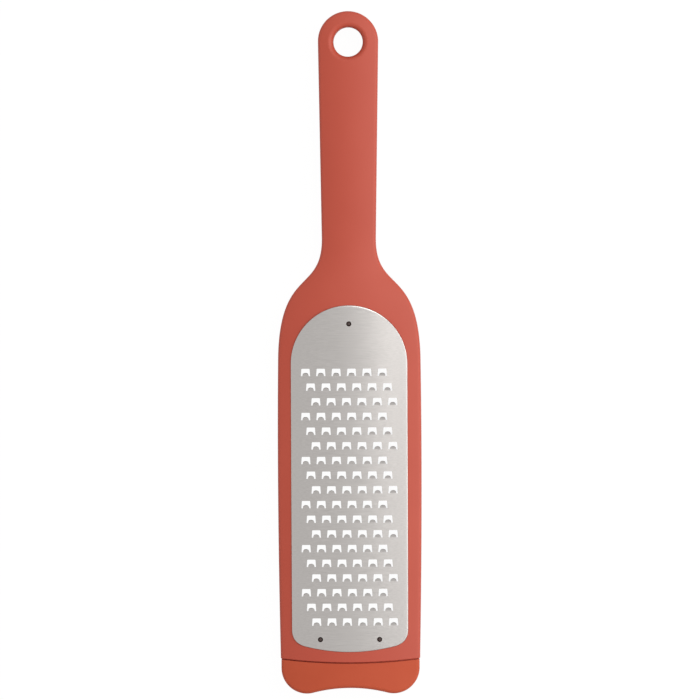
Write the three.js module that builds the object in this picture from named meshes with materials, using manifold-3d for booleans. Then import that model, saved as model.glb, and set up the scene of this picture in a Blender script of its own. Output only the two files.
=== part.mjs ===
import * as THREE from 'three';
import { mergeVertices } from 'three/addons/utils/BufferGeometryUtils.js';
import Module from 'manifold-3d';

// A coarse hand grater lying on its back.
// X runs across it, Y along it towards the handle, and Z out of the grating face.
// The origin is under the middle of its length. All sizes are in millimetres.

// Teeth of the grating plate
const toothRows = 18;
const toothColumns = 6;
const rowPitch = 6.6;
const columnPitch = 6.91;
const rowsPerShift = 3;
const openingTopWidth = 3.75;
const openingFootWidth = 4.2;
const openingHeight = 3.3;
const tongueWidth = 2.8;
const tongueLength = 1.45;
const tongueRoot = 0.5;
const tongueBend = THREE.MathUtils.degToRad(40);

// Grating plate, a shallow steel tray with a turned-down rim
const sheetThickness = 0.8;
const plateSideMargin = 4.5;
const plateTopMargin = 28.4;
const plateBottomMargin = 11.85;
const plateEndTuck = 0.1;
const plateEndRadius = 80;
const plateCornerRadius = 6;
const plateProud = 0.25;
const plateRimDepth = 3;

// Body, a one-piece moulding of handle and frame
const railWidth = 6.1;
const endRailWidth = 4.75;
const shoulderTuck = 0.25;
const seamTuck = 1;
const seamSag = 1.9;
const bellyDrop = 39;
const shoulderLength = 56.2;
const shoulderPull = 44.2;
const neckPull = 25;
const neckWidth = 24.2;
const handleLength = 88.9;
const handleEndRadius = 13.5;
const tipFlatWidth = 2;
const hangHoleDiameter = 13.3;
const hangHoleDrop = 0.35;
const hangHoleRim = 2.2;
const edgeHeight = 11.4;
const crownSlope = 0.15;
const frontEdgeRadius = 1.6;
const backEdgeRadius = 3.5;
const ledgeWidth = 2.2;
const hollowMargin = 2.8;
const hollowCornerRadius = 4;

// End foot, a soft shoe pushed over a tenon on the body
const footLength = 15.85;
const footTuck = 0.25;
const footCornerRadius = 11.5;
const footArchRise = 2.5;
const footWall = 4;
const collarInset = 1;
const collarLength = 2.5;
const seamGap = 0.7;

// Locating pins of the plate
const pinDiameter = 1.6;
const pinHoleGap = 0.35;
const pinRecess = 0.15;
const pinSocketDepth = 4;
const pinTopInset = 8.3;
const pinBottomInset = 5.6;
const pinSpacing = 26.6;
const bossWall = 1.5;

// Clearance between pieces, and how far a cut runs past the face that it opens
const fitGap = 0.3;
const cutMargin = 5;

// Fineness of the rounded forms
const curveSteps = 10;
const edgeSteps = 3;
const crownSteps = 12;
const roundSteps = 32;
const pinSteps = 16;
const tongueSteps = 3;

// Sizes across, worked out from the tooth pattern
const shiftCount = rowsPerShift - 1;
const patternWidth = (toothColumns - 1 + shiftCount / rowsPerShift) * columnPitch + openingFootWidth;
const plateHalfWidth = patternWidth / 2 + plateSideMargin;
const bellyHalfWidth = plateHalfWidth + railWidth;
const shoulderHalfWidth = bellyHalfWidth - shoulderTuck;
const seamHalfWidth = bellyHalfWidth - seamTuck;
const neckHalfWidth = neckWidth / 2;
const footHalfWidth = seamHalfWidth - footTuck;

// Stations along the length, from the foot to the tip of the handle
const patternLength = (toothRows - 1) * rowPitch + openingHeight;
const plateLength = plateTopMargin + patternLength + plateBottomMargin;
const tipAngle = Math.acos(tipFlatWidth / 2 / handleEndRadius);
const tipReach = handleEndRadius * Math.sin(tipAngle);
const seamToShoulder = endRailWidth - seamSag + plateLength - plateHalfWidth;
const overallLength = footLength + seamToShoulder + shoulderLength + handleLength + tipReach;
const footBottomY = -overallLength / 2;
const seamSideY = footBottomY + footLength;
const seamMiddleY = seamSideY - seamSag;
const plateBottomY = seamMiddleY + endRailWidth;
const plateTopY = plateBottomY + plateLength;
const shoulderY = plateTopY - plateHalfWidth;
const bellyY = shoulderY - bellyDrop;
const neckY = shoulderY + shoulderLength;
const handleEndY = neckY + handleLength;
const hangHoleY = handleEndY - hangHoleDrop;
const tipY = handleEndY + tipReach;
const firstRowY = plateTopY - plateTopMargin;
const seamRadius = (seamHalfWidth ** 2 + seamSag ** 2) / (2 * seamSag);

// Heights above the back
const crownHeight = (x, halfWidth) => edgeHeight + crownSlope * halfWidth * (1 - (x / halfWidth) ** 2);
const frameHeight = (x) => crownHeight(x, bellyHalfWidth);
const plateHeight = (x) => frameHeight(x) + plateProud;
const seatHeight = frameHeight(plateHalfWidth) - plateRimDepth;
const tallest = plateHeight(0) + cutMargin;

// Boolean cuts and joins on closed meshes
const wasm = await Module();
wasm.setup();

function toSolid(geometry) {
  geometry.deleteAttribute('normal');
  geometry.deleteAttribute('uv');
  const merged = mergeVertices(geometry);
  const triangles = [];
  for (let i = 0; i < merged.index.count; i += 3) {
    const [a, b, c] = [0, 1, 2].map((corner) => merged.index.getX(i + corner));
    // A turned profile closes to a point on its axis, where one side of each quad has no area.
    if (a !== b && b !== c && c !== a) triangles.push(a, b, c);
  }
  const vertProperties = new Float32Array(merged.attributes.position.array);
  const triVerts = new Uint32Array(triangles);
  return new wasm.Manifold(new wasm.Mesh({ numProp: 3, vertProperties, triVerts }));
}

function toMesh(name, solid, material) {
  const { vertProperties, triVerts } = solid.getMesh();
  const geometry = new THREE.BufferGeometry();
  geometry.setAttribute('position', new THREE.BufferAttribute(vertProperties, 3));
  geometry.setIndex(new THREE.BufferAttribute(triVerts, 1));
  geometry.computeVertexNormals();
  const mesh = new THREE.Mesh(geometry, material);
  mesh.name = name;
  return mesh;
}

// A flat outline drawn in X and Y, as a solid between two heights
function upright(shape, lowZ, highZ, steps = curveSteps) {
  const settings = { depth: highZ - lowZ, bevelEnabled: false, curveSegments: steps };
  return new THREE.ExtrudeGeometry(shape, settings).translate(0, 0, lowZ);
}

function uprightRound(diameter, lowZ, highZ, x, y) {
  const cylinder = new THREE.CylinderGeometry(diameter / 2, diameter / 2, highZ - lowZ, pinSteps);
  return cylinder.rotateX(Math.PI / 2).translate(x, y, (lowZ + highZ) / 2);
}

// A skin through cross-sections that follow each other along Y, each counter-clockwise seen along +Y
function loft(sections) {
  const size = sections[0].length;
  const last = (sections.length - 1) * size;
  const index = [];
  for (let ring = 0; ring < last; ring += size) {
    for (let i = 0; i < size; i += 1) {
      const here = ring + i;
      const next = ring + (i + 1) % size;
      index.push(here, here + size, next + size, here, next + size, next);
    }
  }
  for (let i = 1; i < size - 1; i += 1) {
    index.push(0, i, i + 1, last, last + i + 1, last + i);
  }
  const geometry = new THREE.BufferGeometry().setFromPoints(sections.flat());
  geometry.setIndex(index);
  return geometry;
}

// How far an edge of a given radius has fallen away at a distance from the end of the piece
function roundedDrop(radius, distance) {
  return distance < radius ? radius - Math.sqrt(radius ** 2 - (radius - distance) ** 2) : 0;
}

// One cross-section of the body or foot: flat back, rounded edges and a crowned front
function crossSection(halfWidth, y, endDistance) {
  const backZ = roundedDrop(backEdgeRadius, endDistance);
  const frontDrop = roundedDrop(frontEdgeRadius, endDistance);
  // Corners tighten as the end rounds over, and never pass the middle.
  const cornerEase = 0.8;
  const backRadius = Math.min(backEdgeRadius - cornerEase * backZ, halfWidth);
  const frontRadius = Math.min(frontEdgeRadius - cornerEase * frontDrop, halfWidth);
  const frontTurn = Math.PI / 2 - Math.atan(2 * crownSlope);
  const crownStartX = halfWidth - frontRadius * (1 - Math.cos(frontTurn));
  const frontZ = (x) => crownHeight(x, halfWidth) - frontDrop;
  const right = [];
  for (let step = 0; step <= edgeSteps; step += 1) {
    const angle = (step / edgeSteps) * Math.PI / 2;
    const x = halfWidth - backRadius * (1 - Math.sin(angle));
    right.push(new THREE.Vector3(x, y, backZ + backRadius * (1 - Math.cos(angle))));
  }
  for (let step = 0; step <= edgeSteps; step += 1) {
    const angle = (step / edgeSteps) * frontTurn;
    const x = halfWidth - frontRadius * (1 - Math.cos(angle));
    const z = frontZ(crownStartX) - frontRadius * (Math.sin(frontTurn) - Math.sin(angle));
    right.push(new THREE.Vector3(x, y, z));
  }
  const crown = [];
  for (let step = 1; step < crownSteps; step += 1) {
    const x = crownStartX * (1 - 2 * step / crownSteps);
    crown.push(new THREE.Vector3(x, y, frontZ(x)));
  }
  const left = right.map((point) => new THREE.Vector3(-point.x, y, point.z)).reverse();
  return [...right, ...crown, ...left];
}

// The arc of the seam between body and foot, as everything on the body's side of it
function aboveSeam(gap) {
  const reach = bellyHalfWidth + cutMargin;
  const radius = seamRadius + gap;
  const spread = Math.asin(reach / radius);
  const shape = new THREE.Shape();
  shape.absarc(0, seamMiddleY + seamRadius, radius, -Math.PI / 2 - spread, -Math.PI / 2 + spread);
  shape.lineTo(reach, tipY + cutMargin);
  shape.lineTo(-reach, tipY + cutMargin);
  return toSolid(upright(shape, -cutMargin, tallest));
}

// The plate's outline: round at the top, bowed at the bottom, drawn in by an inset
function plateOutline(inset) {
  const halfWidth = plateHalfWidth - inset;
  const endHalfWidth = halfWidth - plateEndTuck;
  const corner = plateCornerRadius - inset;
  const bowHalfWidth = endHalfWidth - corner;
  const bowRise = bowHalfWidth ** 2 / (2 * plateEndRadius);
  const bottomY = plateBottomY + inset;
  const bowEndY = bottomY + bowRise;
  const cornerY = bowEndY + corner * bowHalfWidth / plateEndRadius;
  const sideEndY = cornerY + corner;
  const sideMiddleY = (bellyY + sideEndY) / 2;
  const shape = new THREE.Shape();
  shape.absarc(0, shoulderY, halfWidth, 0, Math.PI);
  shape.lineTo(-halfWidth, bellyY);
  shape.quadraticCurveTo(-halfWidth, sideMiddleY, -endHalfWidth, sideEndY);
  shape.quadraticCurveTo(-endHalfWidth, cornerY, -bowHalfWidth, bowEndY);
  shape.quadraticCurveTo(0, bottomY - bowRise, bowHalfWidth, bowEndY);
  shape.quadraticCurveTo(endHalfWidth, cornerY, endHalfWidth, sideEndY);
  shape.quadraticCurveTo(halfWidth, sideMiddleY, halfWidth, bellyY);
  return shape;
}

// Everything under the crown of the plate, raised or lowered by a lift
function underCrown(lift) {
  const section = (y) => {
    const points = [new THREE.Vector3(-bellyHalfWidth, y, -cutMargin)];
    points.push(new THREE.Vector3(bellyHalfWidth, y, -cutMargin));
    for (let step = 0; step <= crownSteps; step += 1) {
      const x = bellyHalfWidth * (1 - 2 * step / crownSteps);
      points.push(new THREE.Vector3(x, y, plateHeight(x) + lift));
    }
    return points;
  };
  return toSolid(loft([section(plateBottomY - cutMargin), section(plateTopY + cutMargin)]));
}

// Places of the teeth: the middle of each opening's top edge
function toothPlaces() {
  const places = [];
  for (let row = 0; row < toothRows; row += 1) {
    const shift = (row % rowsPerShift - shiftCount / 2) * columnPitch / rowsPerShift;
    for (let column = 0; column < toothColumns; column += 1) {
      const x = (column - (toothColumns - 1) / 2) * columnPitch + shift;
      places.push({ x, y: firstRowY - row * rowPitch });
    }
  }
  return places;
}

function toothOpening({ x, y }) {
  const shape = new THREE.Shape();
  shape.moveTo(x - openingTopWidth / 2, y);
  shape.lineTo(x - openingFootWidth / 2, y - openingHeight);
  shape.lineTo(x + openingFootWidth / 2, y - openingHeight);
  shape.lineTo(x + openingTopWidth / 2, y);
  return toSolid(upright(shape, 0, tallest));
}

// A tongue of the sheet, bent up at the foot of its opening, with its cutting edge towards the handle
function toothTongue({ x, y }) {
  const radius = tongueWidth / 2;
  const shape = new THREE.Shape();
  shape.moveTo(-radius, -tongueRoot);
  shape.lineTo(radius, -tongueRoot);
  shape.absarc(0, tongueLength - radius, radius, 0, Math.PI);
  const tongue = upright(shape, -sheetThickness, 0, tongueSteps);
  tongue.rotateX(tongueBend);
  tongue.rotateY(Math.atan(2 * crownSlope * x / bellyHalfWidth));
  tongue.translate(x, y - openingHeight, plateHeight(x));
  return toSolid(tongue);
}

const pinPlaces = {
  plate_pin_top: { x: 0, y: plateTopY - pinTopInset },
  plate_pin_left: { x: -pinSpacing / 2, y: plateBottomY + pinBottomInset },
  plate_pin_right: { x: pinSpacing / 2, y: plateBottomY + pinBottomInset },
};

function pinHole({ x, y }, diameter, lowZ) {
  return toSolid(uprightRound(diameter, lowZ, tallest, x, y));
}

function makePlate() {
  const tray = toSolid(upright(plateOutline(0), seatHeight + fitGap, tallest)).intersect(underCrown(0));
  const inside = toSolid(upright(plateOutline(sheetThickness), 0, tallest));
  const places = toothPlaces();
  const holes = Object.values(pinPlaces).map((place) => pinHole(place, pinDiameter + 2 * pinHoleGap, 0));
  return tray
    .subtract(inside.intersect(underCrown(-sheetThickness)))
    .subtract(wasm.Manifold.union([...places.map(toothOpening), ...holes]))
    .add(wasm.Manifold.union(places.map(toothTongue)));
}

// The right-hand edge of the body, from below the seam to the tip of the handle
function bodyStations() {
  const point = (x, y) => new THREE.Vector2(x, y);
  const lowY = seamMiddleY - cutMargin;
  const curves = [
    new THREE.QuadraticBezierCurve(
      point(seamHalfWidth, seamMiddleY),
      point(bellyHalfWidth, (seamMiddleY + bellyY) / 2),
      point(bellyHalfWidth, bellyY),
    ),
    new THREE.QuadraticBezierCurve(
      point(bellyHalfWidth, bellyY),
      point(bellyHalfWidth, (bellyY + shoulderY) / 2),
      point(shoulderHalfWidth, shoulderY),
    ),
    new THREE.CubicBezierCurve(
      point(shoulderHalfWidth, shoulderY),
      point(shoulderHalfWidth, shoulderY + shoulderPull),
      point(neckHalfWidth, neckY - neckPull),
      point(neckHalfWidth, neckY),
    ),
    new THREE.LineCurve(point(neckHalfWidth, neckY), point(handleEndRadius, handleEndY)),
    new THREE.EllipseCurve(0, handleEndY, handleEndRadius, handleEndRadius, 0, tipAngle),
  ];
  const steps = [curveSteps / 2, curveSteps / 2, curveSteps, 1, curveSteps];
  const edge = curves.flatMap((curve, i) => curve.getPoints(steps[i]).slice(1));
  return [point(seamHalfWidth, lowY), point(seamHalfWidth, seamMiddleY), ...edge];
}

function makeHollow() {
  const halfWidth = plateHalfWidth - ledgeWidth;
  const topY = firstRowY + hollowMargin;
  const bottomY = firstRowY - patternLength - hollowMargin;
  const cornerX = halfWidth - hollowCornerRadius;
  const shape = new THREE.Shape();
  shape.absarc(cornerX, topY - hollowCornerRadius, hollowCornerRadius, 0, Math.PI / 2);
  shape.absarc(-cornerX, topY - hollowCornerRadius, hollowCornerRadius, Math.PI / 2, Math.PI);
  shape.absarc(-cornerX, bottomY + hollowCornerRadius, hollowCornerRadius, Math.PI, 1.5 * Math.PI);
  shape.absarc(cornerX, bottomY + hollowCornerRadius, hollowCornerRadius, 1.5 * Math.PI, 2 * Math.PI);
  return toSolid(upright(shape, -cutMargin, tallest, curveSteps / 2));
}

// The hole in the end of the handle, with a rounded rim on both faces
function makeHangHole() {
  const radius = hangHoleDiameter / 2;
  const topZ = crownHeight(radius, handleEndRadius);
  const profile = [new THREE.Vector2(0, -cutMargin), new THREE.Vector2(radius + hangHoleRim, -cutMargin)];
  const rim = (z, direction, order) => order.map((step) => {
    const angle = (step / edgeSteps) * Math.PI / 2;
    const x = radius + hangHoleRim * (1 - Math.cos(angle));
    return new THREE.Vector2(x, z + direction * hangHoleRim * Math.sin(angle));
  });
  const rising = Array.from({ length: edgeSteps + 1 }, (_, step) => step);
  profile.push(...rim(hangHoleRim, -1, [...rising].reverse()));
  profile.push(...rim(topZ - hangHoleRim, 1, rising));
  profile.push(new THREE.Vector2(radius + hangHoleRim, tallest), new THREE.Vector2(0, tallest));
  const lathe = new THREE.LatheGeometry(profile, roundSteps);
  return toSolid(lathe.rotateX(Math.PI / 2).translate(0, hangHoleY, 0));
}

// The tenon that the foot is pushed over, with a wider collar behind the seam.
// Grown by the clearance, it makes the foot's socket.
function makeTenon(clearance) {
  const tenonHalfWidth = footHalfWidth - footWall;
  const highY = seamSideY + fitGap;
  const topZ = crownHeight(tenonHalfWidth, footHalfWidth) - footWall;
  const block = (halfWidth, lowY) => {
    const width = 2 * (halfWidth + clearance);
    const length = highY - lowY + 2 * clearance;
    const height = topZ - footWall + 2 * clearance;
    const box = new THREE.BoxGeometry(width, length, height);
    return toSolid(box.translate(0, (lowY + highY) / 2, (footWall + topZ) / 2));
  };
  const tenon = block(tenonHalfWidth, footBottomY + footArchRise + footWall);
  const collar = block(footHalfWidth - collarInset, seamMiddleY - collarLength);
  return tenon.add(collar);
}

// Where a boss ends: clear of the crowned sheet all over its top
function bossTopZ(x, bossDiameter) {
  return plateHeight(Math.abs(x) + bossDiameter / 2) - sheetThickness - fitGap;
}

function makeBody() {
  const sections = bodyStations().map(({ x, y }) => crossSection(x, y, tipY - y));
  const seat = toSolid(upright(plateOutline(-fitGap), seatHeight, tallest));
  const socketDiameter = pinDiameter + 2 * fitGap;
  const bossDiameter = socketDiameter + 2 * bossWall;
  const places = Object.values(pinPlaces);
  const bosses = places.map(({ x, y }) => {
    const lowZ = seatHeight - pinSocketDepth;
    return toSolid(uprightRound(bossDiameter, lowZ, bossTopZ(x, bossDiameter), x, y));
  });
  const sockets = places.map((place) => pinHole(place, socketDiameter, seatHeight - pinSocketDepth));
  return toSolid(loft(sections))
    .intersect(aboveSeam(0))
    .add(makeTenon(0))
    .subtract(seat)
    .add(wasm.Manifold.union(bosses))
    .subtract(wasm.Manifold.union([makeHollow(), makeHangHole(), ...sockets]));
}

// The foot's edge: straight sides and round corners, then an arch that runs smoothly into both corners
function makeFoot() {
  const cornerX = footHalfWidth - footCornerRadius;
  const cornerY = footBottomY + footCornerRadius;
  const sections = [];
  for (let step = 0; step <= curveSteps; step += 1) {
    const angle = (1 - step / curveSteps) * Math.PI / 2;
    const y = cornerY - footCornerRadius * Math.sin(angle);
    sections.push(crossSection(cornerX + footCornerRadius * Math.cos(angle), y, y - footBottomY));
  }
  sections.push(crossSection(footHalfWidth, seamSideY + cutMargin, footLength));
  const archRadius = (cornerX ** 2 + footArchRise ** 2) / (2 * footArchRise) - footCornerRadius;
  const archMiddleY = footBottomY + footArchRise - archRadius;
  const spread = Math.asin(cornerX / archRadius);
  const arch = new THREE.Shape();
  arch.absarc(0, archMiddleY, archRadius, Math.PI / 2 - spread, Math.PI / 2 + spread);
  arch.lineTo(-cornerX, footBottomY - cutMargin);
  arch.lineTo(cornerX, footBottomY - cutMargin);
  return toSolid(loft(sections))
    .subtract(aboveSeam(seamGap))
    .subtract(toSolid(upright(arch, -cutMargin, tallest)))
    .subtract(makeTenon(fitGap));
}

function makePin({ x, y }) {
  const lowZ = seatHeight - pinSocketDepth + fitGap;
  return toSolid(uprightRound(pinDiameter, lowZ, plateHeight(x) - pinRecess, x, y));
}

const mouldedPlastic = new THREE.MeshStandardMaterial({ color: 0xbf5a4a, roughness: 0.6, metalness: 0 });
const softRubber = new THREE.MeshStandardMaterial({ color: 0xc15a42, roughness: 0.75, metalness: 0 });
const brushedSteel = new THREE.MeshStandardMaterial({ color: 0xc4c1bd, roughness: 0.35, metalness: 1 });

const grater = new THREE.Group();
grater.add(toMesh('body', makeBody(), mouldedPlastic));
grater.add(toMesh('end_foot', makeFoot(), softRubber));
grater.add(toMesh('grating_plate', makePlate(), brushedSteel));
for (const [name, place] of Object.entries(pinPlaces)) {
  const darkSteel = new THREE.MeshStandardMaterial({ color: 0x463b38, roughness: 0.5, metalness: 0.8 });
  grater.add(toMesh(name, makePin(place), darkSteel));
}

export default grater;
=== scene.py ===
import math

import bmesh
import bpy
import numpy as np
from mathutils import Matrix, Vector


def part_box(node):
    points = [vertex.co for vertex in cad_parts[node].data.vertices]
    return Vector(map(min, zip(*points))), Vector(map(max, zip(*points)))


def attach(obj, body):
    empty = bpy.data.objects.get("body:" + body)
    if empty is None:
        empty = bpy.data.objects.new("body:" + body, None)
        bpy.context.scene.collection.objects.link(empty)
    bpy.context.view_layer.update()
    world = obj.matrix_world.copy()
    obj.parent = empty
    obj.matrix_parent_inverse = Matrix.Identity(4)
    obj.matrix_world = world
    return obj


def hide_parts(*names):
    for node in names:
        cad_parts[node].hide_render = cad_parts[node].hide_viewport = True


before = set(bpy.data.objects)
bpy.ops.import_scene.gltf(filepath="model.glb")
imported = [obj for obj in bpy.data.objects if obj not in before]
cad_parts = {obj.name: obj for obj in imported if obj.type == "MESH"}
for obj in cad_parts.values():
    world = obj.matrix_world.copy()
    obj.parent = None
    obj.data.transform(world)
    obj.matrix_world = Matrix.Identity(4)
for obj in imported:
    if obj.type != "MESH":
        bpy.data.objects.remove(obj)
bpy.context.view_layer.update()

MM = 0.001

# Body: the handle and the frame round the plate, one injection moulding of terracotta polypropylene.
# Its front is crowned and its back flat. The plate drops into a seat in the front, the space behind
# the plate is open to the back, and a tenon at the lower end carries the foot.
body_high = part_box("body")[1]
plate_low, plate_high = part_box("grating_plate")
foot_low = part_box("end_foot")[0]

shoulder_tuck = 0.25 * MM
seam_tuck = 1.0 * MM
seam_sag = 1.9 * MM
foot_length = 15.85 * MM
belly_drop = 39.0 * MM
shoulder_length = 56.2 * MM
shoulder_pull = 44.2 * MM
neck_pull = 25.0 * MM
neck_half_width = 12.1 * MM
handle_length = 88.9 * MM
end_radius = 13.5 * MM
hang_hole_drop = 0.35 * MM
flat_back = 0.0
edge_height = 11.4 * MM
crown_slope = 0.15
front_edge_radius = 1.6 * MM
back_edge_radius = 3.5 * MM
seam_edge_radius = 0.3 * MM
seam_margin = 5.0 * MM
hang_hole_radius = 6.65 * MM
hang_hole_rim = 2.3 * MM
fit_gap = 0.3 * MM
seat_gap = 0.02 * MM
seat_rim = 0.12 * MM
plate_rim_depth = 3.0 * MM
ledge_width = 2.2 * MM
hollow_rim = 0.8 * MM
hollow_corner = 4.0 * MM
tenon_wall = 4.0 * MM
above_all = 40.0 * MM
below_all = -10.0 * MM

belly_half_width = body_high[0]
plate_half_width = plate_high[0]
shoulder_half_width = belly_half_width - shoulder_tuck
seam_half_width = belly_half_width - seam_tuck
seam_side_y = foot_low[1] + foot_length
seam_middle_y = seam_side_y - seam_sag
shoulder_y = plate_high[1] - plate_half_width
belly_y = shoulder_y - belly_drop
neck_y = shoulder_y + shoulder_length
handle_end_y = neck_y + handle_length
hang_hole_y = handle_end_y - hang_hole_drop


def bezier(control, steps):
    """Points on a Bezier curve of any degree."""
    control = np.array(control)
    t = np.linspace(0, 1, steps + 1)[:, None]
    degree = len(control) - 1
    weights = [math.comb(degree, i) * (1 - t) ** (degree - i) * t ** i for i in range(degree + 1)]
    return sum(weight * point for weight, point in zip(weights, control))


def arc(centre, radius, start, end, steps):
    """Points on a circle between two angles in degrees."""
    angle = np.radians(np.linspace(start, end, steps + 1))
    return np.array(centre) + radius * np.stack([np.cos(angle), np.sin(angle)], axis=1)


def joined(*curves):
    """Curves that follow each other, each without the point where the last one ended."""
    return np.concatenate([curves[0]] + [curve[1:] for curve in curves[1:]])


def mirrored(points):
    return points * np.array([-1, 1])


def closed_loop(bottom, right, top):
    """The outline of a shape that is alike on both sides, counter-clockwise from its bottom."""
    return np.concatenate([bottom[:-1], right[:-1], top[:0:-1], mirrored(right)[:0:-1]])


def moved_in(loop, distance):
    """A closed counter-clockwise outline, moved inwards by a distance."""
    along = np.roll(loop, -1, axis=0) - np.roll(loop, 1, axis=0)
    along /= np.linalg.norm(along, axis=1, keepdims=True)
    inward = np.stack([-along[:, 1], along[:, 0]], axis=1)
    return loop + inward * distance


def patch(bottom, right, top, left):
    """A grid of points that fills the space between four edges."""
    u = np.linspace(0, 1, len(bottom))[None, :, None]
    v = np.linspace(0, 1, len(right))[:, None, None]
    across = (1 - v) * bottom[None] + v * top[None]
    along = (1 - u) * left[:, None] + u * right[:, None]
    low = (1 - u) * bottom[0] + u * bottom[-1]
    high = (1 - u) * top[0] + u * top[-1]
    return across + along - (1 - v) * low - v * high


def at_height(plan, height):
    """Points of a plan, lifted to one height or to a height for each."""
    return np.concatenate([plan, np.broadcast_to(height, plan.shape[:-1])[..., None]], axis=-1)


weld_distance = 0.001 * MM


def new_piece(name, points, faces):
    """A mesh object with its faces pointing out."""
    mesh = bpy.data.meshes.new(name)
    mesh.from_pydata([tuple(point) for point in points], [], faces)
    shape = bmesh.new()
    shape.from_mesh(mesh)
    bmesh.ops.remove_doubles(shape, verts=shape.verts, dist=weld_distance)
    bmesh.ops.recalc_face_normals(shape, faces=shape.faces)
    shape.to_mesh(mesh)
    shape.free()
    piece = bpy.data.objects.new(name, mesh)
    bpy.context.collection.objects.link(piece)
    return piece


def strips(loops):
    """Quads between closed loops of point numbers that follow each other."""
    faces = []
    for first, second in zip(loops, loops[1:]):
        for i in range(len(first)):
            j = (i + 1) % len(first)
            faces.append((first[i], first[j], second[j], second[i]))
    return faces


def grid_rim(numbers):
    """The point numbers round the border of a grid, as a closed loop."""
    return np.concatenate([numbers[0, :-1], numbers[:-1, -1], numbers[-1, :0:-1], numbers[:0:-1, 0]])


def grid_faces(numbers):
    """Quads over a grid of point numbers."""
    faces = []
    for lower, upper in zip(numbers, numbers[1:]):
        for i in range(len(lower) - 1):
            faces.append((lower[i], lower[i + 1], upper[i + 1], upper[i]))
    return faces


def rounded_slab(name, edges, front_radius, back_radius, front_height, back_height, round_steps=8):
    """A slab over a plan outline of bottom, right and top edges, alike on both sides of its middle.
    Its front follows a height over the plan, its back is flat, and both have rounded edges."""
    bottom, right, top = edges
    across = len(bottom) - 1
    along = len(right) - 1
    outline = closed_loop(bottom, right, top)
    cuts = [0, across, across + along, 2 * across + along, 2 * (across + along)]
    grid_numbers = np.arange((along + 1) * (across + 1)).reshape(along + 1, across + 1)
    rim_numbers = grid_rim(grid_numbers)

    def filled(loop):
        closed = np.concatenate([loop, loop[:1]])
        low, up, high, down = (closed[a:b + 1] for a, b in zip(cuts, cuts[1:]))
        return patch(low, up, high[::-1], down[::-1])

    front_turn = math.pi / 2 - math.atan(2 * crown_slope)
    front_in = front_radius * (1 - math.cos(front_turn))
    front_plan = filled(moved_in(outline, front_in))
    front = at_height(front_plan, front_height(front_plan[..., 0], front_plan[..., 1])).reshape(-1, 3)
    rim_height = front[rim_numbers, 2]
    back = at_height(filled(moved_in(outline, back_radius)), back_height).reshape(-1, 3)

    points = [front]
    loops = [rim_numbers]
    total = len(front)
    for step in range(round_steps - 1, -1, -1):
        turn = front_turn * step / round_steps
        plan = moved_in(outline, front_radius * (1 - math.cos(turn)))
        points.append(at_height(plan, rim_height - front_radius * (math.sin(front_turn) - math.sin(turn))))
        loops.append(total + np.arange(len(outline)))
        total += len(outline)
    for step in range(round_steps, 0, -1):
        turn = math.pi / 2 * step / round_steps
        plan = moved_in(outline, back_radius * (1 - math.sin(turn)))
        points.append(at_height(plan, back_height + back_radius * (1 - math.cos(turn))))
        loops.append(total + np.arange(len(outline)))
        total += len(outline)
    points.append(back)
    loops.append(total + rim_numbers)

    faces = strips(loops) + grid_faces(grid_numbers) + grid_faces(grid_numbers[:, ::-1] + total)
    return new_piece(name, np.concatenate(points), faces)


def ring_solid(name, rings):
    """A solid through closed rings of points that lie one above the other."""
    count = len(rings[0])
    loops = [np.arange(count) + i * count for i in range(len(rings))]
    faces = strips(loops) + [tuple(loops[0][::-1]), tuple(loops[-1])]
    return new_piece(name, np.concatenate(rings), faces)


def carve(piece, tool, operation="DIFFERENCE"):
    """Cuts a tool out of a piece, or joins it on, and throws the tool away."""
    modifier = piece.modifiers.new("carve", "BOOLEAN")
    modifier.object = tool
    modifier.operation = operation
    modifier.solver = "EXACT"
    evaluated = piece.evaluated_get(bpy.context.evaluated_depsgraph_get())
    carved = bpy.data.meshes.new_from_object(evaluated)
    piece.modifiers.clear()
    piece.data = carved
    bpy.data.objects.remove(tool)


def smoothed(piece, sharp_angle=35):
    """Smooth shading, broken only at real edges."""
    piece.data.shade_smooth()
    piece.data.set_sharp_from_angle(angle=math.radians(sharp_angle))


# The body is first drawn too long, with a round lower end, and then cut off along the seam.
below_seam_y = seam_middle_y - seam_margin
body_end_steps = 48
body_low_edge = arc((0, below_seam_y), seam_half_width, 225, 315, body_end_steps)
body_right_edge = joined(
    arc((0, below_seam_y), seam_half_width, -45, 0, steps=16),
    bezier([(seam_half_width, below_seam_y), (seam_half_width, seam_side_y)], steps=6),
    bezier([(seam_half_width, seam_side_y), (belly_half_width, (seam_side_y + belly_y) / 2),
            (belly_half_width, belly_y)], steps=90),
    bezier([(belly_half_width, belly_y), (belly_half_width, (belly_y + shoulder_y) / 2),
            (shoulder_half_width, shoulder_y)], steps=36),
    bezier([(shoulder_half_width, shoulder_y), (shoulder_half_width, shoulder_y + shoulder_pull),
            (neck_half_width, neck_y - neck_pull), (neck_half_width, neck_y)], steps=72),
    bezier([(neck_half_width, neck_y), (end_radius, handle_end_y)], steps=70),
    arc((0, handle_end_y), end_radius, 0, 45, steps=16),
)
body_end_edge = arc((0, handle_end_y), end_radius, 135, 45, body_end_steps)
seam_bow = seam_sag / seam_half_width ** 2


def seam_y(x):
    return seam_middle_y + seam_bow * x ** 2


def crown_height(x, half_width):
    """Height of a crowned front over the flat back."""
    return edge_height + crown_slope * half_width * (1 - (x / half_width) ** 2)


def body_front(x, y):
    """Height of the body's front, which turns into a dome at the round end of the handle."""
    half_width = np.interp(y, body_right_edge[:, 1], body_right_edge[:, 0])
    dome = crown_height(np.hypot(x, y - handle_end_y), end_radius)
    return np.where(y > handle_end_y, dome, crown_height(x, half_width))


plate_end_tuck = 0.1 * MM
plate_corner = 6.0 * MM
plate_bow_radius = 80.0 * MM
plate_end_steps = 52


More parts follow.
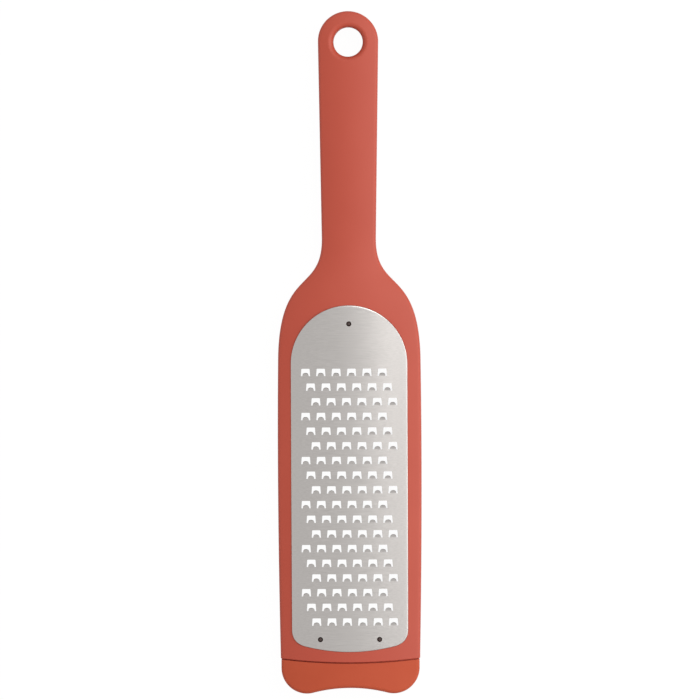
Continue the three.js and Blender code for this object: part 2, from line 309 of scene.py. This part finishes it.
def plate_edges(inset):
    """Bottom, right and top edges of the plate: a bowed end, small corners, long sides and a round top."""
    half_width = plate_half_width - inset
    end_half_width = half_width - plate_end_tuck
    corner = plate_corner - inset
    bow_half_width = end_half_width - corner
    bow_rise = bow_half_width ** 2 / (2 * plate_bow_radius)
    bottom_y = plate_low[1] + inset
    bow_end_y = bottom_y + bow_rise
    corner_y = bow_end_y + corner * bow_half_width / plate_bow_radius
    side_end_y = corner_y + corner
    bottom_x = np.linspace(-bow_half_width, bow_half_width, plate_end_steps + 1)
    bottom = np.stack([bottom_x, bottom_y + bottom_x ** 2 / (2 * plate_bow_radius)], axis=1)
    right = joined(
        bezier([(bow_half_width, bow_end_y), (end_half_width, corner_y),
                (end_half_width, side_end_y)], steps=12),
        bezier([(end_half_width, side_end_y), (half_width, (side_end_y + belly_y) / 2),
                (half_width, belly_y)], steps=80),
        bezier([(half_width, belly_y), (half_width, shoulder_y)], steps=40),
        arc((0, shoulder_y), half_width, 0, 45, steps=24),
    )
    return bottom, right, arc((0, shoulder_y), half_width, 135, 45, plate_end_steps)


to_front = 1
to_back = -1


def rim_rings(loop, rim, surface_height, direction, steps=6):
    """Rings that flare a cut outwards to a rounded rim, up to the front or down to the back."""
    rings = []
    for step in range(steps + 1):
        turn = math.pi / 2 * step / steps
        plan = moved_in(loop, -rim * (1 - math.cos(turn)))
        rings.append(at_height(plan, surface_height - direction * rim * (1 - math.sin(turn))))
    return rings


seat_height = crown_height(plate_half_width, belly_half_width) - plate_rim_depth
tooth_row_pitch = 6.6 * MM
tooth_rows = 18
plate_top_margin = 28.4 * MM
first_row_y = plate_high[1] - plate_top_margin
opening_height = 3.3 * MM
hollow_margin = 2.8 * MM
hollow_half_width = plate_half_width - ledge_width
hollow_top_y = first_row_y + hollow_margin
hollow_bottom_y = first_row_y - (tooth_rows - 1) * tooth_row_pitch - opening_height - hollow_margin


def hollow_loop():
    x = hollow_half_width - hollow_corner
    top = hollow_top_y - hollow_corner
    bottom = hollow_bottom_y + hollow_corner
    corners = [(x, bottom, -90), (x, top, 0), (-x, top, 90), (-x, bottom, 180)]
    return np.concatenate([
        arc((cx, cy), hollow_corner, start, start + 90, steps=10) for cx, cy, start in corners])


def through_cut(name, loop, rim, front_height):
    """A tool that cuts right through, with a rounded rim on the front and on the flat back."""
    wide = moved_in(loop, -rim)
    surface = front_height(wide[:, 0], wide[:, 1])
    rings = [at_height(wide, below_all)] + rim_rings(loop, rim, flat_back, to_back)[::-1]
    return ring_solid(name, rings + rim_rings(loop, rim, surface, to_front) + [at_height(wide, above_all)])


def seam_loop(gap, end_y):
    """The outline of everything between the seam's curve, lowered by a gap, and a far end."""
    x = np.linspace(-1, 1, num=65) * (belly_half_width + seam_margin)
    curve = np.stack([x, seam_y(x) - gap], axis=1)
    return np.concatenate([curve, [(x[-1], end_y), (x[0], end_y)]])


body = rounded_slab(
    "handle_and_frame", (body_low_edge, body_right_edge, body_end_edge),
    front_edge_radius, back_edge_radius, body_front, flat_back)
cut_off = seam_loop(0, below_seam_y - seam_half_width - seam_margin)[::-1]
carve(body, through_cut("cut_off", cut_off, seam_edge_radius, body_front))

foot_tuck = 0.25 * MM
foot_half_width = seam_half_width - foot_tuck
seam_gap = 0.52 * MM
seam_depth = 1.5 * MM
collar_inset = 0.15 * MM
collar_gap = 0.02 * MM
collar_length = seam_gap - collar_gap
collar_root = 1.25 * MM
collar_back = 3.5 * MM
collar_edge = 0.1 * MM
tenon_half_width = foot_half_width - tenon_wall
foot_arch_rise = 2.5 * MM
tenon_low_y = foot_low[1] + foot_arch_rise + tenon_wall
tenon_top = crown_height(tenon_half_width, foot_half_width) - tenon_wall


def tenon_block(clearance):
    """The tenon, or with a clearance the socket for it."""
    x = tenon_half_width + clearance
    low = tenon_low_y - clearance
    high = seam_side_y + fit_gap + clearance
    plan = np.array([(-x, low), (x, low), (x, high), (-x, high)])
    heights = (tenon_wall - clearance, tenon_top + clearance)
    return ring_solid("tenon", [at_height(plan, height) for height in heights])


# A collar round the tenon closes the bottom of the seam.
collar_x = np.linspace(-1, 1, num=33) * (foot_half_width - collar_inset)
collar_low = np.stack([collar_x, seam_y(collar_x) - collar_length], axis=1)
collar_high = np.stack([collar_x, seam_y(collar_x) + collar_root], axis=1)
collar = rounded_slab(
    "collar", (collar_low, bezier([collar_low[-1], collar_high[-1]], steps=4), collar_high),
    collar_edge, collar_edge, lambda x, y: body_front(x, y) - seam_depth, collar_back, round_steps=2)
carve(body, tenon_block(0), "UNION")
carve(body, collar, "UNION")
seat_loop = closed_loop(*plate_edges(-seat_gap))
seat_surface = body_front(seat_loop[:, 0], seat_loop[:, 1])
carve(body, ring_solid("seat", [at_height(seat_loop, seat_height)]
                       + rim_rings(seat_loop, seat_rim, seat_surface, to_front)
                       + [at_height(moved_in(seat_loop, -seat_rim), above_all)]))
hollow = hollow_loop()
carve(body, ring_solid("hollow", [at_height(moved_in(hollow, -hollow_rim), below_all)]
                       + rim_rings(hollow, hollow_rim, flat_back, to_back)[::-1]
                       + [at_height(hollow, above_all)]))

# Three bosses stand on the seat, with a socket in each for a pin that locates the plate.
pin_nodes = ("plate_pin_top", "plate_pin_left", "plate_pin_right")
pin_stand_out = 1.35 * MM
boss_wall = 1.5 * MM


def pin_loop(name, spread):
    """The outline of a pin, spread outwards by a distance."""
    low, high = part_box(name)
    centre = ((low[0] + high[0]) / 2, (low[1] + high[1]) / 2)
    return arc(centre, (high[0] - low[0]) / 2 + spread, 0, 360, steps=48)[:-1]


for name in pin_nodes:
    pin_low, pin_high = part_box(name)
    socket_floor = pin_low[2] - fit_gap
    boss_loop = pin_loop(name, fit_gap + boss_wall)
    boss_heights = (socket_floor, pin_high[2] - pin_stand_out)
    carve(body, ring_solid("boss", [at_height(boss_loop, height) for height in boss_heights]), "UNION")
    socket_loop = pin_loop(name, fit_gap)
    socket_heights = (socket_floor, above_all)
    carve(body, ring_solid("socket", [at_height(socket_loop, height) for height in socket_heights]))

hole_loop = arc((0, hang_hole_y), hang_hole_radius, 0, 360, steps=96)[:-1]
carve(body, through_cut("hang_hole", hole_loop, hang_hole_rim, body_front))
smoothed(body)


def linear(hex_colour):
    """An sRGB hex value as linear red, green, blue and alpha."""
    channels = [int(hex_colour[i:i + 2], 16) / 255 for i in (1, 3, 5)]
    return tuple(c / 12.92 if c <= 0.04045 else ((c + 0.055) / 1.055) ** 2.4 for c in channels) + (1.0,)


def add_node(tree, kind, inputs=None, **settings):
    """Adds a node with its settings, and fills its inputs with values or links."""
    node = tree.nodes.new(kind)
    for name, value in settings.items():
        setattr(node, name, value)
    for name, value in (inputs or {}).items():
        if isinstance(value, bpy.types.NodeSocket):
            tree.links.new(value, node.inputs[name])
        else:
            node.inputs[name].default_value = value
    return node


def new_material(name):
    """An empty node material and its tree, with the shader and the frame's coordinates in place."""
    material = bpy.data.materials.new(name)
    material.use_nodes = True
    tree = material.node_tree
    tree.nodes.clear()
    shader = add_node(tree, "ShaderNodeBsdfPrincipled")
    add_node(tree, "ShaderNodeOutputMaterial", {"Surface": shader.outputs["BSDF"]})
    place = add_node(tree, "ShaderNodeTexCoord").outputs["Object"]
    return material, tree, shader, place


# Polypropylene moulded against a fine spark-eroded tool: a dull, even skin with a grain just under
# what the eye resolves, and a soft broad sheen. The grain is drawn at 0.3 mm so that it shows at all.
grain_size = 0.3 * MM
grain_depth = 0.05 * MM
cloud_size = 30 * MM
moulded_plastic, tree, shader, place = new_material("polypropylene_matte_moulded")
shader.inputs["IOR"].default_value = 1.49
grain = add_node(tree, "ShaderNodeTexNoise", {"Vector": place, "Scale": 1 / grain_size, "Detail": 3.0})
cloud = add_node(tree, "ShaderNodeTexNoise", {"Vector": place, "Scale": 1 / cloud_size, "Detail": 2.0})
tone = add_node(tree, "ShaderNodeValToRGB", {"Fac": cloud.outputs["Fac"]})
tone.color_ramp.elements[0].position = 0.3
tone.color_ramp.elements[0].color = linear("#bb4a35")
tone.color_ramp.elements[1].position = 0.7
tone.color_ramp.elements[1].color = linear("#bf4e39")
dullness = add_node(tree, "ShaderNodeMapRange", {
    "Value": grain.outputs["Fac"], "To Min": 0.5, "To Max": 0.62})
relief = add_node(tree, "ShaderNodeBump", {
    "Height": grain.outputs["Fac"], "Strength": 0.12, "Distance": grain_depth})
tree.links.new(tone.outputs["Color"], shader.inputs["Base Color"])
tree.links.new(dullness.outputs["Result"], shader.inputs["Roughness"])
tree.links.new(relief.outputs["Normal"], shader.inputs["Normal"])
body.data.materials.clear()
body.data.materials.append(moulded_plastic)
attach(body, "root")
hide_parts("body")

# Grating plate: one sheet of stainless steel, brushed across, with its rim turned down into the seat.
# Each tooth is a tongue punched on three sides and bent up, so that its cutting edge faces the handle.
sheet = 0.8 * MM
plate_proud = 0.25 * MM
rolled_rim = 0.2 * MM
tooth_columns = 6
tooth_column_pitch = 6.91 * MM
rows_per_shift = 3
opening_top_width = 3.75 * MM
opening_foot_width = 4.2 * MM
opening_corner = 0.3 * MM
tongue_half_width = 1.45 * MM
tongue_length = 1.38 * MM
tongue_root = 0.5 * MM
tongue_bend = math.radians(32)
tongue_bend_length = 0.9 * MM
tongue_root_thickness = 0.6 * MM
tongue_edge_thickness = 0.35 * MM
tongue_sink = 0.03 * MM
tongue_blunt = 0.05 * MM
tongue_steps_along = 14
tongue_steps_across = 10
cut_edge = 0.1 * MM
pin_hole_gap = 0.35 * MM


def plate_front(x, y):
    return crown_height(x, belly_half_width) + plate_proud


def plate_under(x, y):
    return plate_front(x, y) - sheet


def tooth_places():
    """The middle of each opening's top edge. The rows step sideways and repeat every third row."""
    for row in range(tooth_rows):
        shift = (row % rows_per_shift - (rows_per_shift - 1) / 2) * tooth_column_pitch / rows_per_shift
        for column in range(tooth_columns):
            x = (column - (tooth_columns - 1) / 2) * tooth_column_pitch + shift
            yield x, first_row_y - row * tooth_row_pitch


def opening_loop(x, y):
    """A punched opening: slightly wider at its foot, with rounded top corners."""
    top = opening_top_width / 2
    foot = opening_foot_width / 2
    low = y - opening_height
    return np.concatenate([
        [(x - foot, low), (x + foot, low)],
        arc((x + top - opening_corner, y - opening_corner), opening_corner, 0, 90, steps=4),
        arc((x - top + opening_corner, y - opening_corner), opening_corner, 90, 180, steps=4),
    ])


def all_openings():
    """All openings and pin holes as one cutting tool."""
    loops = [opening_loop(x, y) for x, y in tooth_places()]
    loops += [pin_loop(name, pin_hole_gap) for name in pin_nodes]
    points = []
    faces = []
    for loop in loops:
        count = len(loop)
        low = len(points) + np.arange(count)
        points.extend(at_height(loop, seat_height))
        points.extend(at_height(loop, above_all))
        faces.extend(strips([low, low + count]) + [tuple(low[::-1]), tuple(low + count)])
    return new_piece("openings", points, faces)


def tongue_half_width_at(length):
    """Half the width of the tongue at a distance from its root: straight, then a round end."""
    into_round = np.maximum(length - (tongue_length - tongue_half_width), 0)
    return np.sqrt(np.maximum(tongue_half_width ** 2 - into_round ** 2, tongue_blunt ** 2))


def bent_up(length):
    """Where places on the flat tongue end up once it is bent: reach along the sheet, height and slope."""
    slope = tongue_bend * np.clip(length, 0, tongue_bend_length) / tongue_bend_length
    bend_radius = tongue_bend_length / tongue_bend
    straight = np.maximum(length - tongue_bend_length, 0)
    reach = np.minimum(length, 0) + bend_radius * np.sin(slope) + straight * np.cos(slope)
    height = bend_radius * (1 - np.cos(slope)) + straight * np.sin(slope)
    return reach, height, slope


def tongue_points(x, y):
    """The upper and lower side of one tongue, each a grid of points from its root to its cutting edge."""
    share = np.sin(np.linspace(0, math.pi / 2, tongue_steps_along + 1))
    length = ((tongue_length + tongue_root) * share - tongue_root)[:, None]
    across = np.linspace(-1, 1, tongue_steps_across + 1) * tongue_half_width_at(length)
    reach, height, slope = bent_up(length)
    sheet_tilt = -2 * crown_slope * x / belly_half_width
    thickness = np.interp(length, [0, tongue_length], [tongue_root_thickness, tongue_edge_thickness])
    sides = []
    for depth in (np.zeros_like(length), thickness):
        py = np.broadcast_to(y - opening_height + reach + depth * np.sin(slope), across.shape)
        pz = plate_front(x, y) - tongue_sink + height - depth * np.cos(slope) + sheet_tilt * across
        sides.append(np.stack([x + across, py, pz], axis=-1))
    return np.stack(sides)


def all_tongues():
    """All tongues, each a bent strip of the sheet with a round end, as one solid to join on."""
    points = []
    faces = []
    for x, y in tooth_places():
        grids = tongue_points(x, y)
        upper, lower = len(points) + np.arange(grids[..., 0].size).reshape(grids.shape[:-1])
        points.extend(grids.reshape(-1, 3))
        faces.extend(grid_faces(upper) + grid_faces(lower[:, ::-1]))
        faces.extend(strips([grid_rim(upper), grid_rim(lower)]))
    return new_piece("tongues", points, faces)


plate = rounded_slab(
    "grating_sheet", plate_edges(0), rolled_rim, cut_edge, plate_front, seat_height + fit_gap)
carve(plate, rounded_slab("inside", plate_edges(sheet), rolled_rim / 2, cut_edge, plate_under, below_all))
carve(plate, all_openings())
carve(plate, all_tongues(), "UNION")
smoothed(plate)

# Stainless sheet, brushed across: the grit leaves fine scratches from side to side, which streak the
# shine and spread it lengthwise. Scratches are about 0.05 mm wide, drawn at 0.3 mm so that they show.
scratch_length = 24 * MM
scratch_width = 0.3 * MM
scratch_depth = 0.02 * MM
brushed_steel, tree, shader, place = new_material("stainless_sheet_brushed")
shader.inputs["Metallic"].default_value = 1.0
stretched = add_node(tree, "ShaderNodeMapping", {
    "Vector": place, "Scale": (1 / scratch_length, 1 / scratch_width, 1 / scratch_width)})
scratch = add_node(tree, "ShaderNodeTexNoise", {
    "Vector": stretched.outputs["Vector"], "Scale": 1.0, "Detail": 4.0})
shade = add_node(tree, "ShaderNodeValToRGB", {"Fac": scratch.outputs["Fac"]})
shade.color_ramp.elements[0].position = 0.25
shade.color_ramp.elements[0].color = linear("#a9a5a2")
shade.color_ramp.elements[1].position = 0.75
shade.color_ramp.elements[1].color = linear("#b5b1ae")
gloss = add_node(tree, "ShaderNodeMapRange", {
    "Value": scratch.outputs["Fac"], "To Min": 0.25, "To Max": 0.35})
relief = add_node(tree, "ShaderNodeBump", {
    "Height": scratch.outputs["Fac"], "Strength": 0.1, "Distance": scratch_depth})
tree.links.new(shade.outputs["Color"], shader.inputs["Base Color"])
tree.links.new(gloss.outputs["Result"], shader.inputs["Roughness"])
tree.links.new(relief.outputs["Normal"], shader.inputs["Normal"])
plate.data.materials.clear()
plate.data.materials.append(brushed_steel)
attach(plate, "root")
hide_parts("grating_plate")

# Locating pins: three short turned pins of dark steel, pressed into bosses of the body under the plate.
# Their ends stand just below the face of the sheet, in holes a little wider than they are.
pin_edge_radius = 0.25 * MM

# Turned steel, dark and satin, faintly mottled by the marks of the tool. The dark colour is partly painted
# shade: it stands for the shade in the holes round the pins as well as for the steel itself.
# The marks are about 0.1 mm wide, drawn at 0.4 mm so that they show.
tool_mark = 0.4 * MM
pin_steel_and_shade, tree, shader, place = new_material("steel_pin_dark_painted_shade")
shader.inputs["Metallic"].default_value = 0.8
turning = add_node(tree, "ShaderNodeTexNoise", {"Vector": place, "Scale": 1 / tool_mark, "Detail": 3.0})
# Painted shade: these dark tones also stand for the shade in the holes round the pins.
pin_shade_tone = add_node(tree, "ShaderNodeValToRGB", {"Fac": turning.outputs["Fac"]})
pin_shade_tone.color_ramp.elements[0].color = linear("#3a2f2d")
pin_shade_tone.color_ramp.elements[1].color = linear("#554845")
dull = add_node(tree, "ShaderNodeMapRange", {"Value": turning.outputs["Fac"], "To Min": 0.4, "To Max": 0.6})
tree.links.new(pin_shade_tone.outputs["Color"], shader.inputs["Base Color"])
tree.links.new(dull.outputs["Result"], shader.inputs["Roughness"])

for name in pin_nodes:
    pin_low, pin_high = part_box(name)
    loop = pin_loop(name, 0)
    rings = [at_height(loop, pin_low[2])]
    for turn in np.linspace(0, math.pi / 2, num=6):
        plan = moved_in(loop, pin_edge_radius * (1 - math.cos(turn)))
        rings.append(at_height(plan, pin_high[2] - pin_edge_radius * (1 - math.sin(turn))))
    pin = ring_solid(name + "_turned", rings)
    smoothed(pin)
    pin.data.materials.append(pin_steel_and_shade)
    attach(pin, "root")
    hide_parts(name)

# End foot: a soft non-slip shoe of terracotta thermoplastic rubber, pushed over the body's tenon.
# Two rounded lobes with a shallow arch between them stand on the board while grating.
foot_corner = 11.5 * MM
foot_corner_x = foot_half_width - foot_corner
foot_corner_y = foot_low[1] + foot_corner
arch_radius = (foot_corner_x ** 2 + foot_arch_rise ** 2) / (2 * foot_arch_rise) - foot_corner
arch_middle_y = foot_low[1] + foot_arch_rise - arch_radius
lobe_angle = math.degrees(math.atan2(foot_corner_x, foot_corner_y - arch_middle_y))
foot_bottom_right = joined(
    arc((0, arch_middle_y), arch_radius, 90, 90 - lobe_angle, steps=24),
    arc((foot_corner_x, foot_corner_y), foot_corner, -90 - lobe_angle, -45, steps=24),
)
foot_bottom_edge = joined(mirrored(foot_bottom_right)[::-1], foot_bottom_right)
above_seam_y = seam_side_y + seam_margin
foot_right_edge = joined(
    arc((foot_corner_x, foot_corner_y), foot_corner, -45, 0, steps=16),
    bezier([(foot_half_width, foot_corner_y), (foot_half_width, above_seam_y)], steps=16),
    arc((0, above_seam_y), foot_half_width, 0, 45, steps=16),
)
foot_top_edge = arc((0, above_seam_y), foot_half_width, 135, 45, len(foot_bottom_edge) - 1)


def foot_front(x, y):
    return crown_height(x, foot_half_width)


foot = rounded_slab(
    "non_slip_foot", (foot_bottom_edge, foot_right_edge, foot_top_edge),
    front_edge_radius, back_edge_radius, foot_front, flat_back)
cut_off = seam_loop(seam_gap, above_seam_y + foot_half_width + seam_margin)
carve(foot, through_cut("cut_off", cut_off, seam_edge_radius, foot_front))
carve(foot, tenon_block(fit_gap))
smoothed(foot)

# Thermoplastic rubber moulded in a matte tool: a dry, slightly chalky skin with almost no highlight.
# Its fine grain is drawn at 0.35 mm so that it shows.
skin_grain = 0.35 * MM
skin_depth = 0.05 * MM
skin_cloud = 16 * MM
soft_rubber, tree, shader, place = new_material("thermoplastic_rubber_matte_moulded")
shader.inputs["IOR"].default_value = 1.5
shader.inputs["Sheen Weight"].default_value = 0.05
skin = add_node(tree, "ShaderNodeTexNoise", {"Vector": place, "Scale": 1 / skin_grain, "Detail": 2.0})
cloud = add_node(tree, "ShaderNodeTexNoise", {"Vector": place, "Scale": 1 / skin_cloud, "Detail": 2.0})
tone = add_node(tree, "ShaderNodeValToRGB", {"Fac": cloud.outputs["Fac"]})
tone.color_ramp.elements[0].position = 0.3
tone.color_ramp.elements[0].color = linear("#c04c29")
tone.color_ramp.elements[1].position = 0.7
tone.color_ramp.elements[1].color = linear("#c4502d")
dullness = add_node(tree, "ShaderNodeMapRange", {
    "Value": skin.outputs["Fac"], "To Min": 0.66, "To Max": 0.8})
relief = add_node(tree, "ShaderNodeBump", {
    "Height": skin.outputs["Fac"], "Strength": 0.15, "Distance": skin_depth})
tree.links.new(tone.outputs["Color"], shader.inputs["Base Color"])
tree.links.new(dullness.outputs["Result"], shader.inputs["Roughness"])
tree.links.new(relief.outputs["Normal"], shader.inputs["Normal"])
foot.data.materials.clear()
foot.data.materials.append(soft_rubber)
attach(foot, "root")
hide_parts("end_foot")

# Floor: a plain white sweep that the grater lies on. It looks white in the picture and in the steel,
# and keeps a faint shadow of the grater.
floor_half_size = 4.0
floor_drop = 0.05 * MM
white_share = 0.96
floor_white = 1.02
floor = new_piece("floor", [
    (-floor_half_size, -floor_half_size, -floor_drop), (floor_half_size, -floor_half_size, -floor_drop),
    (floor_half_size, floor_half_size, -floor_drop), (-floor_half_size, floor_half_size, -floor_drop)],
    [(0, 1, 2, 3)])
white_sweep = bpy.data.materials.new("white_paper_sweep")
white_sweep.use_nodes = True
tree = white_sweep.node_tree
tree.nodes.clear()


def seen_share(tree, unseen, seen):
    """One value for rays that look, straight or mirrored, and another for rays that light."""
    rays = add_node(tree, "ShaderNodeLightPath").outputs
    looks = rays["Is Camera Ray"]
    for kind in ("Is Glossy Ray", "Is Transmission Ray"):
        looks = add_node(tree, "ShaderNodeMath", {0: looks, 1: rays[kind]}, operation="MAXIMUM").outputs[0]
    share = add_node(tree, "ShaderNodeMapRange", {"Value": looks, "To Min": unseen, "To Max": seen})
    return share.outputs["Result"]


paper = add_node(tree, "ShaderNodeBsdfDiffuse", {"Color": linear("#f4f4f4")})
white = add_node(tree, "ShaderNodeEmission", {"Color": linear("#ffffff"), "Strength": floor_white})
blend = add_node(tree, "ShaderNodeMixShader", {
    0: seen_share(tree, 0.0, white_share), 1: paper.outputs["BSDF"], 2: white.outputs["Emission"]})
add_node(tree, "ShaderNodeOutputMaterial", {"Surface": blend.outputs["Shader"]})
floor.data.materials.append(white_sweep)

# Light: an even white room with three soft boxes. The one above and to the right is mirrored in the right
# half of the plate. The two low ones shade the crowned plastic, brighter on the right than on the left.
room_level = 0.4
world = bpy.data.worlds.new("white_room")
bpy.context.scene.world = world
world.use_nodes = True
tree = world.node_tree
tree.nodes.clear()
backdrop = add_node(tree, "ShaderNodeBackground", {
    "Color": linear("#ffffff"), "Strength": seen_share(tree, room_level, 1.0)})
add_node(tree, "ShaderNodeOutputWorld", {"Surface": backdrop.outputs["Background"]})


def soft_box(name, place, size, brightness):
    """A square lamp that looks at the grater. Brightness 1 is as bright as the white room,
    and takes an energy of four times the lamp's area."""
    lamp = bpy.data.lights.new(name, "AREA")
    lamp.size = size
    lamp.energy = 4 * brightness * size ** 2
    box = bpy.data.objects.new(name, lamp)
    box.location = place
    bpy.context.collection.objects.link(box)
    x, y, z = place
    box.rotation_euler = (math.atan2(math.hypot(x, y), z), 0, math.atan2(x, -y))


soft_box("plate_box", place=(0.48, 0.58, 1.45), size=0.8, brightness=2.85)
soft_box("right_box", place=(1.21, 0.1, 0.88), size=0.7, brightness=5.6)
soft_box("left_box", place=(-1.5, 0.0, 0.6), size=0.6, brightness=1.1)

# Camera: above the grater with a long lens, about a degree to its right, and turned by the small angle
# that the picture shows.
frame_pixels = 700
pixel_size = 0.45 * MM
camera_distance = 6.0
outline_height = 8.0 * MM
shift_pixels = (0.75, 2.25)
camera_roll = math.radians(-0.235)
camera_lean = math.radians(1.3)
camera_data = bpy.data.cameras.new("camera")
camera_data.sensor_width = 36.0
camera_data.lens = camera_data.sensor_width * camera_distance / (frame_pixels * pixel_size)
camera = bpy.data.objects.new("camera", camera_data)
camera.rotation_euler = (0, camera_lean, camera_roll)
aim = Vector((shift_pixels[0] * pixel_size, shift_pixels[1] * pixel_size, outline_height))
camera.location = aim + camera.rotation_euler.to_matrix() @ Vector((0, 0, camera_distance))
bpy.context.collection.objects.link(camera)
bpy.context.scene.camera = camera
bpy.context.scene.view_settings.view_transform = "Standard"
